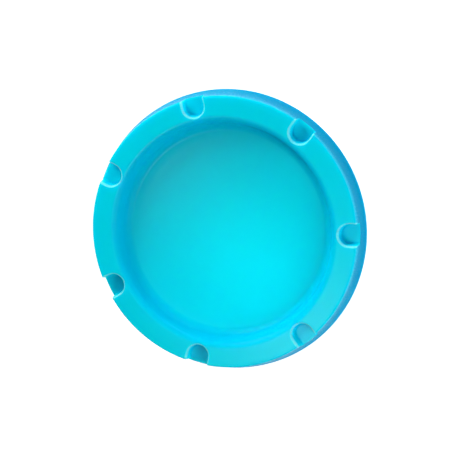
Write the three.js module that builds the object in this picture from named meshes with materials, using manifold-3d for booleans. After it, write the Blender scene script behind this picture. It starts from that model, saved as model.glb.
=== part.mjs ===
// Disc air stone for a pond or aquarium: a notched dish-shaped cap over a ring of porous stone,
// a weighted base on three suction cups, and a hose tail with a non-return valve.
// Millimetres, +Z up. The origin is on the tank floor, in the middle of the disc.
import * as THREE from 'three';
import { mergeVertices } from 'three/addons/utils/BufferGeometryUtils.js';
import Module from 'manifold-3d';

const wasm = await Module();
wasm.setup();

const DEG = Math.PI / 180;
const GAP = 0.3; // working gap between neighbouring pieces
const CUT = 1; // how far a cutting tool runs past the face that it cuts
const ROUND = 56; // sides of a large round, a whole number of them to each notch and quarter

// ---- Driving dimensions of the cap ----
const SKIRT_R = 62.5; // lower edge of the skirt: the disc is 125 across
const CORNER_R = 60.4; // outer corner of the flange
const CORNER_FILLET = 0.8;
const RIM_H = 11.8; // from the flange down to the lower edge of the skirt
const SKIRT_LIP_H = 0.8; // upright edge at the foot of the skirt
const DISH_DEPTH = 8.7; // from the flange down to the dish floor at its edge
const DISH_SAG = 4; // extra depth in the middle of the dish
const WALL = 2.2; // wall of the cap
const FLANGE_IN_R = 52; // where the flat flange starts to roll into the dish
const ROLL_R = 3.6; // radius of that roll
const FOOT_R = 4.6; // radius where the dish floor turns up into its wall
const FLOOR_R = 43.4; // where the dish floor starts to turn up
const DISH_WALL_R = 48.2; // dish wall at half depth
const NOTCHES = 7;
const NOTCH_START = 1; // degrees from +X to the first notch
const NOTCH_HALF = 4.65; // half the width of a notch, and the radius of its round end
const NOTCH_END_R = 52.2; // inner end of a notch
const NOTCH_DEPTH = 5.4;
const NOTCH_WALL = 1.8; // wall round a notch
const SPIGOT_R = 47.8; // outside of the locking spigot under the dish
const SPIGOT_WALL = 1.8;
const SPIGOT_H = 8.4;
const SEAL_LAND_R = 49.8; // outer edge of the flat land that meets the cap seal

// ---- Driving dimensions of the stack, from the tank floor up ----
const CUP_H = 5.7; // from the floor to the shoulder of a suction cup
const COVER_Z = 6; // underside of the bottom cover
const COVER_T = 1.6;
const COVER_R = 43.6;
const HOUSING_WALL_R = 48; // outside of the ballast chamber
const HOUSING_WALL_T = 4;
const LEDGE_Z = 8.6; // underside of the ledge that carries the stone
const LEDGE_T = 1.8;
const LEDGE_R = 57.3;
const DECK_Z = 11.6; // underside of the deck over the ballast chamber
const DECK_T = 1.8;
const GASKET_T = 1;
const STONE_H = 8.1;
const STONE_IN_R = 50;
const STONE_OUT_R = 56.6;
const PRESS_T = 2; // pressure ring
const PRESS_IN_R = 48.4;
const SEAL_R = 0.65; // section radius of the cap seal
const SEAL_RING_R = 49.45;
const REBATE_FLOOR = 0.8; // thickness of the pressure ring under the cap seal

// ---- Driving dimensions of the twist lock ----
const LOCK_WALL_R = 45.4; // outside of the lock ring on the base
const LOCK_WALL_T = 1.8;
const LOCK_TOP = 20.5;
const LUGS = 3;
const LUG_START = 60;
const LUG_HALF = 4; // degrees
const LUG_R = 47.5;
const LUG_Z = 17.5;
const LUG_H = 1.5;
const LUG_PLAY = 0.5; // free above and below a lug in its path
const LUG_SLACK = 1.5; // degrees free on each side of a lug
const TWIST = 22; // degrees of turn that frees the cap
const WINDOWS = 9;
const WINDOW_HALF = 11; // degrees
const WINDOW_H = 2.2;

// ---- Driving dimensions of the inlet ----
const INLET_AT = 215; // degrees from +X
const INLET_R = 33; // from the middle of the disc to the valve's axis
const VALVE_R = 5.8;
const VALVE_BOTTOM = 6.2;
const VALVE_TOP = 19.2;
const VALVE_FLANGE_R = 8.6;
const NUT_ACROSS = 16; // across the flats
const NUT_H = 3;
const SEAT_Z = 14;
const SEAT_R = 2;
const BORE_R = 4;
const POPPET_R = 3.2;
const POPPET_T = 1;
const STEM_R = 0.9;
const STEM_TOP = 20.2;
const SPRING_R = 2.2;
const SPRING_WIRE = 0.25;
const SPRING_TURNS = 4;
const TAIL_Z = 3.2; // height of the hose tail's axis
const TAIL_LEN = 30;
const TAIL_R = 2.1;
const BARB_R = 2.5; // takes 4 mm bore airline
const BARBS = 4;
const BARB_PITCH = 2.6;
const HUB_R = 4.6;
const PLUG_R = 3.6;
const PLUG_TOP = 11.6;
const HUB_Z = 1; // underside of the hub
const TAIL_BORE_R = 1.3;
const HUB_BORE_R = 1.6;
const ELBOW_SEAL_Z = 7.9; // middle of the round seal
const ELBOW_SEAL_R = 0.35;
const ELBOW_CLIP_Z = 10.6; // underside of the clip
const ELBOW_CLIP_T = 0.5;
const CLIP_GAP = 30; // degrees open on each side of +X

// ---- Driving dimensions of the weight, feet and fasteners ----
const BALLAST_IN_R = 5;
const BALLAST_OUT_R = 23.5;
const BALLAST_H = 3.2;
const CUPS = 3;
const CUP_START = 35; // degrees from +X to the first suction cup
const CUP_CIRCLE_R = 38;
const CUP_LIP_R = 10.2;
const CUP_LIP_IN_R = 8.6;
const CUP_LIP_T = 0.5;
const CUP_HOLLOW = 2.6; // height of the hollow under a cup
const CUP_SHOULDER_R = 4.5;
const CUP_HEAD_H = 2.4;
const CUP_NECK_R = 2.9;
const CUP_HEAD_R = 4.2;
const SCREWS = 6;
const SCREW_START = 5; // degrees from +X to the first screw
const SCREW_CIRCLE_R = 39.4;
const SCREW_R = 1.1;
const SCREW_HEAD_R = 2.5;
const SCREW_SINK = 0.1; // how far a head lies below the cover's face
const BOSS_R = 3;

// ---- Heights worked out from the above ----
const COVER_TOP = COVER_Z + COVER_T;
const BALLAST_Z = COVER_TOP + GAP;
const LEDGE_TOP = LEDGE_Z + LEDGE_T;
const DECK_TOP = DECK_Z + DECK_T;
const LOWER_GASKET_Z = LEDGE_TOP + GAP;
const STONE_Z = LOWER_GASKET_Z + GASKET_T + GAP;
const UPPER_GASKET_Z = STONE_Z + STONE_H + GAP;
const PRESS_Z = UPPER_GASKET_Z + GASKET_T + GAP;
const PRESS_TOP = PRESS_Z + PRESS_T;
const CAP_UNDER = PRESS_TOP + 0.5;
const FLOOR_Z = CAP_UNDER + WALL;
const FLANGE_Z = FLOOR_Z + DISH_DEPTH;
const SKIRT_Z = FLANGE_Z - RIM_H;
const NOTCH_Z = FLANGE_Z - NOTCH_DEPTH;
const SPIGOT_Z = CAP_UNDER - SPIGOT_H;
const INLET_X = INLET_R * Math.cos(INLET_AT * DEG);
const INLET_Y = INLET_R * Math.sin(INLET_AT * DEG);

// ---- Materials ----
const frosted = new THREE.MeshStandardMaterial({ color: 0x02c4de, roughness: 0.4, metalness: 0 });
const housingPlastic = new THREE.MeshStandardMaterial({ color: 0x1f5f86, roughness: 0.5, metalness: 0 });
const porousStone = new THREE.MeshStandardMaterial({ color: 0xc9cfd2, roughness: 0.95, metalness: 0 });
const softSeal = new THREE.MeshStandardMaterial({ color: 0x22282c, roughness: 0.8, metalness: 0 });
const clearSilicone = new THREE.MeshStandardMaterial({ color: 0xbfe3ea, roughness: 0.35, metalness: 0 });
const stainless = new THREE.MeshStandardMaterial({ color: 0xb4b8bc, roughness: 0.35, metalness: 1 });

// ---- Helpers ----

// A solid of revolution about Z from an outline of [radius, height] points that runs outwards
// along the bottom, up the outside and back in over the top.
function turned(outline, segments = ROUND) {
  const points = outline.map(([r, z]) => new THREE.Vector2(r, z));
  return new THREE.LatheGeometry(points, segments).rotateX(Math.PI / 2);
}

// A ring or a disc with square corners.
function ring(inner, outer, low, high, segments = ROUND) {
  const outline = [[inner, low], [outer, low], [outer, high], [inner, high]];
  if (inner > 0) outline.push([inner, low]);
  return turned(outline, segments);
}

// A flat shape in the XY plane raised from low to high.
function raised(shape, low, high, curveSegments = 8) {
  const depth = high - low;
  return new THREE.ExtrudeGeometry(shape, { depth, bevelEnabled: false, curveSegments }).translate(0, 0, low);
}

// Part of a ring between two angles in degrees.
function arcBlock(inner, outer, from, to, low, high) {
  const shape = new THREE.Shape();
  shape.absarc(0, 0, outer, from * DEG, to * DEG, false);
  shape.absarc(0, 0, inner, to * DEG, from * DEG, true);
  shape.closePath();
  return raised(shape, low, high, 4);
}

// Points on an arc of a section outline, with angles in degrees.
function arcPoints(centreR, centreZ, radius, from, to, steps) {
  return Array.from({ length: steps + 1 }, (_, i) => {
    const angle = (from + ((to - from) * i) / steps) * DEG;
    return [centreR + radius * Math.cos(angle), centreZ + radius * Math.sin(angle)];
  });
}

function solid(geometry) {
  const plain = geometry.clone();
  plain.deleteAttribute('normal');
  plain.deleteAttribute('uv');
  const merged = mergeVertices(plain, 1e-4);
  const vertProperties = new Float32Array(merged.attributes.position.array);
  const triVerts = new Uint32Array(merged.index.array);
  return new wasm.Manifold(new wasm.Mesh({ numProp: 3, vertProperties, triVerts }));
}

function geometryOf(manifold) {
  const mesh = manifold.getMesh();
  const geometry = new THREE.BufferGeometry();
  geometry.setAttribute('position', new THREE.BufferAttribute(new Float32Array(mesh.vertProperties), 3));
  geometry.setIndex(new THREE.BufferAttribute(new Uint32Array(mesh.triVerts), 1));
  const flat = geometry.toNonIndexed();
  flat.computeVertexNormals();
  return flat;
}

// One solid with others added to it and then others cut from it.
function shaped(base, { add = [], cut = [] }) {
  let body = solid(base);
  add.forEach((piece) => (body = body.add(solid(piece))));
  cut.forEach((piece) => (body = body.subtract(solid(piece))));
  return geometryOf(body);
}

// The angles, in degrees, of things spaced evenly round the disc.
function spread(count, start) {
  return Array.from({ length: count }, (_, i) => start + (i * 360) / count);
}

function turnedTo(geometry, angle) {
  return geometry.clone().rotateZ(angle * DEG);
}

// A geometry moved out along +X and then turned about Z.
function placed(geometry, radius, angle) {
  return turnedTo(geometry.clone().translate(radius, 0, 0), angle);
}

function mesh(name, geometry, material) {
  const part = new THREE.Mesh(geometry, material);
  part.name = name;
  return part;
}

// ---- The cap ----

// The outside of the rim from the skirt's lower edge to the flange, flared like a shallow bell.
function rimOutside() {
  const flare = SKIRT_R - CORNER_R;
  const height = RIM_H - SKIRT_LIP_H;
  const bell = [1, 0.55, 0.25, 0.1].map((share, i) => {
    return [CORNER_R + flare * share, SKIRT_Z + SKIRT_LIP_H + (height * i) / 4];
  });
  return [
    [SKIRT_R, SKIRT_Z],
    ...bell,
    ...arcPoints(CORNER_R - CORNER_FILLET, FLANGE_Z - CORNER_FILLET, CORNER_FILLET, 10, 90, 3),
  ];
}

// The dip of the dish floor from its edge, as a shallow bowl: deepest in the middle.
function bowl(height) {
  return [1, 0.75, 0.5, 0.25, 0].map((share) => [FLOOR_R * share, height - DISH_SAG * (1 - share * share)]);
}

// The upper face of the dish from the flange to the middle.
function dishFace() {
  return [
    ...arcPoints(FLANGE_IN_R, FLANGE_Z - ROLL_R, ROLL_R, 90, 165, 5),
    [DISH_WALL_R, FLANGE_Z - DISH_DEPTH / 2],
    ...arcPoints(FLOOR_R, FLOOR_Z + FOOT_R, FOOT_R, -10, -72, 3),
    ...bowl(FLOOR_Z),
  ];
}

// The underside, from the middle outwards: the back of the dish floor, the locking spigot,
// the back of the dish wall, the hollow of the rim and the skirt's inner face.
function capUnderside() {
  const under = FLANGE_Z - WALL;
  const backR = DISH_WALL_R + WALL;
  return [
    ...bowl(CAP_UNDER).reverse(),
    [SPIGOT_R - SPIGOT_WALL, CAP_UNDER],
    [SPIGOT_R - SPIGOT_WALL, SPIGOT_Z],
    [SPIGOT_R, SPIGOT_Z],
    [SPIGOT_R, CAP_UNDER],
    [SEAL_LAND_R, CAP_UNDER],
    [backR, CAP_UNDER + WALL],
    [backR + 0.4, FLANGE_Z - DISH_DEPTH / 2],
    [FLANGE_IN_R + 0.6, under],
    [CORNER_R - WALL, under],
    [CORNER_R - WALL + 0.4, SKIRT_Z + RIM_H / 2],
    [SKIRT_R - WALL + 0.4, SKIRT_Z],
  ];
}

// A notch seen from above: straight sides, open outwards, with a half-round inner end.
function notchShape(half) {
  const centre = NOTCH_END_R + NOTCH_HALF;
  const shape = new THREE.Shape();
  shape.moveTo(SKIRT_R + CUT, -half);
  shape.lineTo(SKIRT_R + CUT, half);
  shape.lineTo(centre, half);
  shape.absarc(centre, 0, half, 90 * DEG, 270 * DEG, false);
  shape.closePath();
  return shape;
}

// An L-shaped path for a lug: up from the spigot's lower edge, then sideways.
function lockPath(angle) {
  const room = LUG_HALF + LUG_SLACK;
  const low = LUG_Z - LUG_PLAY;
  const high = LUG_Z + LUG_H + LUG_PLAY;
  const inner = SPIGOT_R - SPIGOT_WALL - CUT;
  const outer = SPIGOT_R + CUT;
  const way = arcBlock(inner, outer, angle - TWIST - room, angle - TWIST + room, SPIGOT_Z - CUT, high);
  const run = arcBlock(inner, outer, angle - TWIST - room, angle + room, low, high);
  return [way, run];
}

function notchedCap() {
  const outline = [...capUnderside(), ...rimOutside(), ...dishFace()];
  const hull = turned([[0, SKIRT_Z], ...rimOutside(), [0, FLANGE_Z]]);
  const pocketWall = raised(notchShape(NOTCH_HALF + NOTCH_WALL), NOTCH_Z - WALL, FLANGE_Z - WALL / 2);
  const pocket = raised(notchShape(NOTCH_HALF), NOTCH_Z, FLANGE_Z + CUT);
  const outside = solid(hull);
  let body = solid(turned(outline));
  spread(NOTCHES, NOTCH_START).forEach((angle) => {
    body = body.add(solid(turnedTo(pocketWall, angle)).intersect(outside));
    body = body.subtract(solid(turnedTo(pocket, angle)));
  });
  spread(LUGS, LUG_START).flatMap(lockPath).forEach((piece) => {
    body = body.subtract(solid(piece));
  });
  return geometryOf(body);
}

// ---- The stone and its seals ----

// A flat gasket, a little narrower than the stone, from one height up by its thickness.
function gasket(low) {
  return ring(STONE_IN_R + GAP, STONE_OUT_R - GAP, low, low + GASKET_T);
}

function sealRing(ringR, sectionR, height) {
  return new THREE.TorusGeometry(ringR, sectionR, 6, ROUND).translate(0, 0, height);
}

function pressureRing() {
  const rebateR = SEAL_RING_R + SEAL_R + 0.2;
  const rebateZ = PRESS_Z + REBATE_FLOOR;
  return turned([
    [PRESS_IN_R, PRESS_Z], [LEDGE_R, PRESS_Z], [LEDGE_R, PRESS_TOP], [rebateR, PRESS_TOP],
    [rebateR, rebateZ], [PRESS_IN_R, rebateZ], [PRESS_IN_R, PRESS_Z],
  ]);
}

// ---- The base ----

function baseHousing() {
  const chamberR = HOUSING_WALL_R - HOUSING_WALL_T;
  const stepR = HOUSING_WALL_R - 1;
  const lockIn = LOCK_WALL_R - LOCK_WALL_T;
  const bevel = 0.6;
  const body = turned([
    [0, DECK_Z], [chamberR, DECK_Z], [chamberR, COVER_Z], [HOUSING_WALL_R, COVER_Z],
    [HOUSING_WALL_R, LEDGE_Z], [LEDGE_R - bevel, LEDGE_Z], [LEDGE_R, LEDGE_Z + bevel], [LEDGE_R, LEDGE_TOP],
    [stepR, LEDGE_TOP], [stepR, DECK_TOP], [LOCK_WALL_R, DECK_TOP], [LOCK_WALL_R, LOCK_TOP],
    [lockIn, LOCK_TOP], [lockIn, DECK_TOP], [0, DECK_TOP],
  ]);
  const rooted = DECK_Z + 0.5; // posts run this far up into the deck
  const post = ring(0, BALLAST_IN_R - GAP, BALLAST_Z, rooted, 20);
  const boss = ring(0, BOSS_R, BALLAST_Z, rooted, 12);
  const pilot = ring(0, SCREW_R + GAP, BALLAST_Z - CUT, DECK_Z + 0.6, 10);
  const lug = arcBlock(LOCK_WALL_R - 0.5, LUG_R, -LUG_HALF, LUG_HALF, LUG_Z, LUG_Z + LUG_H);
  const gateTop = DECK_TOP + WINDOW_H;
  const gate = arcBlock(lockIn - CUT, LOCK_WALL_R + CUT, -WINDOW_HALF, WINDOW_HALF, DECK_TOP, gateTop);
  const way = ring(0, VALVE_R + GAP, DECK_Z - CUT, DECK_TOP + CUT, 24);
  return shaped(body, {
    add: [
      post,
      ...spread(SCREWS, SCREW_START).map((angle) => placed(boss, SCREW_CIRCLE_R, angle)),
      ...spread(LUGS, LUG_START).map((angle) => turnedTo(lug, angle)),
    ],
    cut: [
      placed(way, INLET_R, INLET_AT),
      ...spread(SCREWS, SCREW_START).map((angle) => placed(pilot, SCREW_CIRCLE_R, angle)),
      ...spread(WINDOWS, LUG_START / 3).map((angle) => turnedTo(gate, angle)),
    ],
  });
}

function bottomCover() {
  const slack = 0.4; // round a neck, a shank or the valve body
  const below = COVER_Z - CUT;
  const above = COVER_TOP + CUT;
  const mouthR = SCREW_HEAD_R + GAP;
  const shankR = SCREW_R + slack;
  const neck = ring(0, CUP_NECK_R + slack, below, above, 16);
  const sink = turned([
    [0, below], [mouthR, below], [mouthR, COVER_Z + 0.2], [shankR, COVER_Z + 1.4], [shankR, above], [0, above],
  ], 12);
  const way = ring(0, VALVE_R + slack, below, above, 24);
  return shaped(ring(0, COVER_R, COVER_Z, COVER_TOP), {
    cut: [
      placed(way, INLET_R, INLET_AT),
      ...spread(CUPS, CUP_START).map((angle) => placed(neck, CUP_CIRCLE_R, angle)),
      ...spread(SCREWS, SCREW_START).map((angle) => placed(sink, SCREW_CIRCLE_R, angle)),
    ],
  });
}

// A countersunk screw, head down, with a cross recess in its head.
function coverScrew() {
  const face = COVER_Z + SCREW_SINK;
  const rim = 0.2; // upright edge of the head
  const cone = 1.3; // height of the countersink
  const point = 0.5; // bevel at the screw's tip
  const body = turned([
    [0, face], [SCREW_HEAD_R, face], [SCREW_HEAD_R, face + rim], [SCREW_R, face + rim + cone],
    [SCREW_R, DECK_Z - point], [SCREW_R - point, DECK_Z], [0, DECK_Z],
  ], 12);
  const crossLength = 2.6;
  const crossWidth = 0.6;
  const crossDepth = 0.8;
  const arm = new THREE.BoxGeometry(crossLength, crossWidth, 2 * crossDepth).translate(0, 0, face);
  return shaped(body, { cut: [arm, arm.clone().rotateZ(Math.PI / 2)] });
}

// A suction cup: the hollow under it, its lip, its bell up to a shoulder, its neck and its head.
function suctionCup() {
  const bead = COVER_TOP + 0.4;
  const top = bead + CUP_HEAD_H;
  const hollow = [[0, CUP_HOLLOW], [3.6, CUP_HOLLOW - 0.2], [7, CUP_HOLLOW / 2], [CUP_LIP_IN_R, 0]];
  const lip = [[CUP_LIP_R, 0], [CUP_LIP_R, CUP_LIP_T]];
  const bell = [[8.4, 2.1], [5.6, 3.8], [CUP_SHOULDER_R, CUP_H]];
  const neck = [[CUP_NECK_R, CUP_H], [CUP_NECK_R, bead]];
  const head = [[CUP_HEAD_R, bead], [CUP_HEAD_R, bead + 0.6], [CUP_NECK_R - 0.4, top], [0, top]];
  return turned([...hollow, ...lip, ...bell, ...neck, ...head], 20);
}

// ---- The inlet, each piece about its own vertical axis ----

function valveBody() {
  const shoulder = 10.2; // under the groove that the clip springs into
  const clipR = 4.7;
  const clipTop = 12;
  const flangeZ = DECK_TOP + 1.4;
  const flangeTop = flangeZ + 1.5;
  const seatFoot = SEAT_Z - 0.4;
  const outside = [
    [VALVE_R, VALVE_BOTTOM], [VALVE_R, flangeZ], [VALVE_FLANGE_R, flangeZ],
    [VALVE_FLANGE_R, flangeTop], [VALVE_R, flangeTop], [VALVE_R, VALVE_TOP],
  ];
  const seat = [[SEAT_R + 0.8, seatFoot], [SEAT_R + 0.5, SEAT_Z], [SEAT_R, SEAT_Z]];
  const groove = [[SEAT_R, clipTop + 0.4], [clipR, clipTop], [clipR, shoulder], [BORE_R, shoulder]];
  return turned([
    [BORE_R, VALVE_BOTTOM], ...outside, [BORE_R, VALVE_TOP], [BORE_R, seatFoot],
    ...seat, ...groove, [BORE_R, VALVE_BOTTOM],
  ], 24);
}

// A flat washer between the deck and the valve's flange.
function valveWasher() {
  const thick = 0.8;
  const low = DECK_TOP + GAP;
  return ring(VALVE_R + GAP, VALVE_FLANGE_R, low, low + thick, 24);
}

function valveNut() {
  const shape = new THREE.Shape();
  const corner = NUT_ACROSS / 2 / Math.cos(30 * DEG);
  spread(6, 0).forEach((angle, i) => {
    const x = corner * Math.cos(angle * DEG);
    const y = corner * Math.sin(angle * DEG);
    if (i === 0) shape.moveTo(x, y);
    else shape.lineTo(x, y);
  });
  shape.closePath();
  const hole = new THREE.Path();
  hole.absarc(0, 0, VALVE_R + GAP, 0, 2 * Math.PI, true);
  shape.holes.push(hole);
  return raised(shape, DECK_Z - GAP - NUT_H, DECK_Z - GAP, 16);
}

function valvePoppet() {
  const low = SEAT_Z + 0.1;
  return turned([
    [0, low], [POPPET_R, low], [POPPET_R, low + POPPET_T], [STEM_R, low + POPPET_T],
    [STEM_R, STEM_TOP], [0, STEM_TOP],
  ], 24);
}

// A straight helix between the poppet and the retainer.
class Helix extends THREE.Curve {
  constructor(radius, turns, low, high) {
    super();
    Object.assign(this, { radius, turns, low, high });
  }

  getPoint(t, target = new THREE.Vector3()) {
    const angle = 2 * Math.PI * this.turns * t;
    const z = this.low + (this.high - this.low) * t;
    return target.set(this.radius * Math.cos(angle), this.radius * Math.sin(angle), z);
  }
}

function valveSpring() {
  const low = SEAT_Z + 0.1 + POPPET_T + 0.2 + SPRING_WIRE;
  const high = VALVE_TOP + GAP - 0.2 - SPRING_WIRE;
  const wire = new THREE.Shape();
  wire.absarc(0, 0, SPRING_WIRE, 0, 2 * Math.PI, false);
  const extrudePath = new Helix(SPRING_R, SPRING_TURNS, low, high);
  return new THREE.ExtrudeGeometry(wire, { steps: 48, curveSegments: 3, bevelEnabled: false, extrudePath });
}

function valveRetainer() {
  const skirtZ = VALVE_TOP - 2;
  const skirtR = VALVE_R + GAP;
  const outR = skirtR + 0.9;
  const holeR = STEM_R + GAP;
  const plateZ = VALVE_TOP + GAP;
  const topZ = plateZ + 1.2;
  const chamfer = 0.4;
  const body = turned([
    [holeR, plateZ], [skirtR, plateZ], [skirtR, skirtZ], [outR, skirtZ],
    [outR, topZ - chamfer], [outR - chamfer, topZ], [holeR, topZ], [holeR, plateZ],
  ], 24);
  const portR = 0.8;
  const portCircleR = 3;
  const port = ring(0, portR, plateZ - CUT, topZ + CUT, 8);
  return shaped(body, { cut: spread(6, 0).map((angle) => placed(port, portCircleR, angle)) });
}

// The plug that turns in the valve body, with a groove for its seal and one for its clip.
function elbowPlug() {
  const seal = { low: ELBOW_SEAL_Z - 0.5, high: ELBOW_SEAL_Z + 0.5, r: 2.9 };
  const clip = { low: ELBOW_CLIP_Z - 0.25, high: ELBOW_CLIP_Z + 0.75, r: 3 };
  const hubTop = VALVE_BOTTOM - GAP;
  const bevel = 0.8;
  return turned([
    [0, HUB_Z], [HUB_R - bevel, HUB_Z], [HUB_R, HUB_Z + bevel], [HUB_R, hubTop], [PLUG_R, hubTop],
    [PLUG_R, seal.low], [seal.r, seal.low], [seal.r, seal.high], [PLUG_R, seal.high],
    [PLUG_R, clip.low], [clip.r, clip.low], [clip.r, clip.high], [PLUG_R, clip.high], [PLUG_R, PLUG_TOP],
    [0, PLUG_TOP],
  ], 24);
}

// The barbed tail, lying along +X from the hub.
function barbedTail() {
  const rise = 0.6; // length over which a barb rises
  const step = 0.2; // plain tail in front of a barb, and how far its tip is waisted
  const barbs = spread(BARBS, 0).flatMap((_, i) => {
    const tip = TAIL_LEN - (BARBS - 1 - i) * BARB_PITCH;
    const foot = tip - BARB_PITCH + step;
    return [[TAIL_R, foot], [BARB_R, foot + rise], [TAIL_R - step, tip]];
  });
  const outline = [[0, 0], [TAIL_R, 0], ...barbs, [0, TAIL_LEN]];
  return turned(outline, 16).rotateY(Math.PI / 2).translate(0, 0, TAIL_Z);
}

function hoseElbow() {
  const rise = ring(0, HUB_BORE_R, TAIL_Z, PLUG_TOP + CUT, 12);
  const run = ring(0, TAIL_BORE_R, 0, TAIL_LEN + CUT, 12).rotateY(Math.PI / 2).translate(0, 0, TAIL_Z);
  return shaped(elbowPlug(), { add: [barbedTail()], cut: [rise, run] });
}

function elbowSeal() {
  const ringR = 3.4;
  return new THREE.TorusGeometry(ringR, ELBOW_SEAL_R, 6, 24).translate(0, 0, ELBOW_SEAL_Z);
}

function elbowClip() {
  const inner = 3.15;
  const outer = 4.4;
  return arcBlock(inner, outer, CLIP_GAP, 360 - CLIP_GAP, ELBOW_CLIP_Z, ELBOW_CLIP_Z + ELBOW_CLIP_T);
}

// ---- The assembly ----

const airStone = new THREE.Group();

airStone.add(
  mesh('notched_cap', notchedCap(), frosted),
  mesh('cap_seal', sealRing(SEAL_RING_R, SEAL_R, PRESS_Z + REBATE_FLOOR + 0.1 + SEAL_R), softSeal),
  mesh('pressure_ring', pressureRing(), housingPlastic),
  mesh('upper_gasket', gasket(UPPER_GASKET_Z), softSeal),
  mesh('stone_ring', ring(STONE_IN_R, STONE_OUT_R, STONE_Z, STONE_Z + STONE_H), porousStone),
  mesh('lower_gasket', gasket(LOWER_GASKET_Z), softSeal),
  mesh('base_housing', baseHousing(), housingPlastic),
  mesh('ballast_ring', ring(BALLAST_IN_R, BALLAST_OUT_R, BALLAST_Z, BALLAST_Z + BALLAST_H, 40), stainless),
  mesh('bottom_cover', bottomCover(), housingPlastic),
);

spread(SCREWS, SCREW_START).forEach((angle, i) => {
  airStone.add(mesh(`cover_screw_${i + 1}`, placed(coverScrew(), SCREW_CIRCLE_R, angle), stainless));
});

spread(CUPS, CUP_START).forEach((angle, i) => {
  airStone.add(mesh(`suction_cup_${i + 1}`, placed(suctionCup(), CUP_CIRCLE_R, angle), clearSilicone));
});

const inlet = new THREE.Group();
inlet.position.set(INLET_X, INLET_Y, 0);
inlet.rotation.z = INLET_AT * DEG;
inlet.add(
  mesh('valve_body', valveBody(), housingPlastic),
  mesh('valve_nut', valveNut(), housingPlastic),
  mesh('valve_washer', valveWasher(), softSeal),
  mesh('valve_poppet', valvePoppet(), softSeal),
  mesh('valve_spring', valveSpring(), stainless),
  mesh('valve_retainer', valveRetainer(), housingPlastic),
  mesh('hose_elbow', hoseElbow(), housingPlastic),
  mesh('elbow_seal', elbowSeal(), softSeal),
  mesh('elbow_clip', elbowClip(), stainless),
);
airStone.add(inlet);

export default airStone;
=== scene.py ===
import math

import bpy
import numpy as np
from mathutils import Matrix, Vector


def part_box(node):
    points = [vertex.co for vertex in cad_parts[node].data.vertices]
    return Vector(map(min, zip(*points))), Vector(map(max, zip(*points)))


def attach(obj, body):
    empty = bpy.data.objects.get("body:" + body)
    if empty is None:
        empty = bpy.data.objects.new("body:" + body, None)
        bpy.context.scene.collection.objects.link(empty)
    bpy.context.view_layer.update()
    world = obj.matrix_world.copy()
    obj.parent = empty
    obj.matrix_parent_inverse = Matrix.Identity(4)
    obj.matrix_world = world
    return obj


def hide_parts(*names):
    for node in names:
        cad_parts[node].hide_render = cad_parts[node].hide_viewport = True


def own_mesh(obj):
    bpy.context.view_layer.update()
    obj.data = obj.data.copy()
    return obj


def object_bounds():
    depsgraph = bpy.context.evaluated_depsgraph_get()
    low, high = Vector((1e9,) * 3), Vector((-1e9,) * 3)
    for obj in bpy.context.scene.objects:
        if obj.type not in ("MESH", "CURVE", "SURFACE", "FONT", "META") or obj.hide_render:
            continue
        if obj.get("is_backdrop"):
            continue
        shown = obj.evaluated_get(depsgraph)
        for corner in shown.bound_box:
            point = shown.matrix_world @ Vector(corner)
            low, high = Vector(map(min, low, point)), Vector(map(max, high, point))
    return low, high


bl_info = {
    "name": "Disc air stone",
    "version": (1, 0, 0),
    "blender": (4, 5, 0),
    "location": "3D View > Sidebar > Air stone",
    "description": "Builds the looks of a disc air stone round its CAD frame",
    "category": "Add Mesh",
}

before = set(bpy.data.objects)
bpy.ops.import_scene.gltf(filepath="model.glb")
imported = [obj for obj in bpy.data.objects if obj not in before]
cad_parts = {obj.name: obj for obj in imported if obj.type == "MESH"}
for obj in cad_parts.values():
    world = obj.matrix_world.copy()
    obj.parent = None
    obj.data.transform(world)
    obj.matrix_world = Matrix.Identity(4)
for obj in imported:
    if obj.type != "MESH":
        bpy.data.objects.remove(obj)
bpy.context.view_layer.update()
MM = 0.001


# ---- Surfaces ----


def smooth_step(t):
    """The cubic that rises from 0 to 1 between t = 0 and t = 1 and is level at both ends."""
    t = np.clip(t, 0, 1)
    return t * t * (3 - 2 * t)


def quads(rows, columns, wrap_rows, wrap_columns):
    """Index quads of a grid of points; each joins a point to the next along its row and the next row."""
    index = np.arange(rows * columns).reshape(rows, columns)
    if wrap_rows:
        index = np.vstack([index, index[:1]])
    if wrap_columns:
        index = np.hstack([index, index[:, :1]])
    corners = [index[:-1, :-1], index[:-1, 1:], index[1:, 1:], index[1:, :-1]]
    return np.stack(corners, -1).reshape(-1, 4)


def lathe(profile, columns=192, angles=None):
    """Each profile point (r, z) becomes a circle: x = r cos(a), y = r sin(a), z. The profile runs outwards
    along the bottom, up the outside and back over the top. An end on the axis becomes one pole point, and
    a profile with no end on the axis is a closed loop."""
    if angles is None:
        angles = np.linspace(0, 2 * np.pi, columns, endpoint=False)
    profile = np.asarray(profile, float)
    poles = profile[0, 0] < 1e-9 and profile[-1, 0] < 1e-9
    body = profile[1:-1] if poles else profile
    r, z = body[:, :1], body[:, 1:]
    points = np.stack([r * np.cos(angles), r * np.sin(angles), z + 0 * angles], -1)
    return closed_skin(points, profile[[0, -1]] if poles else None)


def closed_skin(points, poles=None):
    """Joins a grid of loops into a closed skin, with a fan of triangles to a pole at each end, or with the
    last loop joined to the first when there are no poles."""
    rows, columns = points.shape[:2]
    faces = quads(rows, columns, poles is None, True).tolist()
    verts = points.reshape(-1, 3)
    if poles is not None:
        low, high = rows * columns, rows * columns + 1
        ends = np.array([[0, 0, poles[0][1]], [0, 0, poles[1][1]]])
        verts = np.vstack([verts, ends])
        this = np.arange(columns)
        after = np.roll(this, -1)
        top = (rows - 1) * columns
        faces += np.stack([np.full(columns, low), after, this], -1).tolist()
        faces += np.stack([top + this, top + after, np.full(columns, high)], -1).tolist()
    return verts, faces


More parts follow.
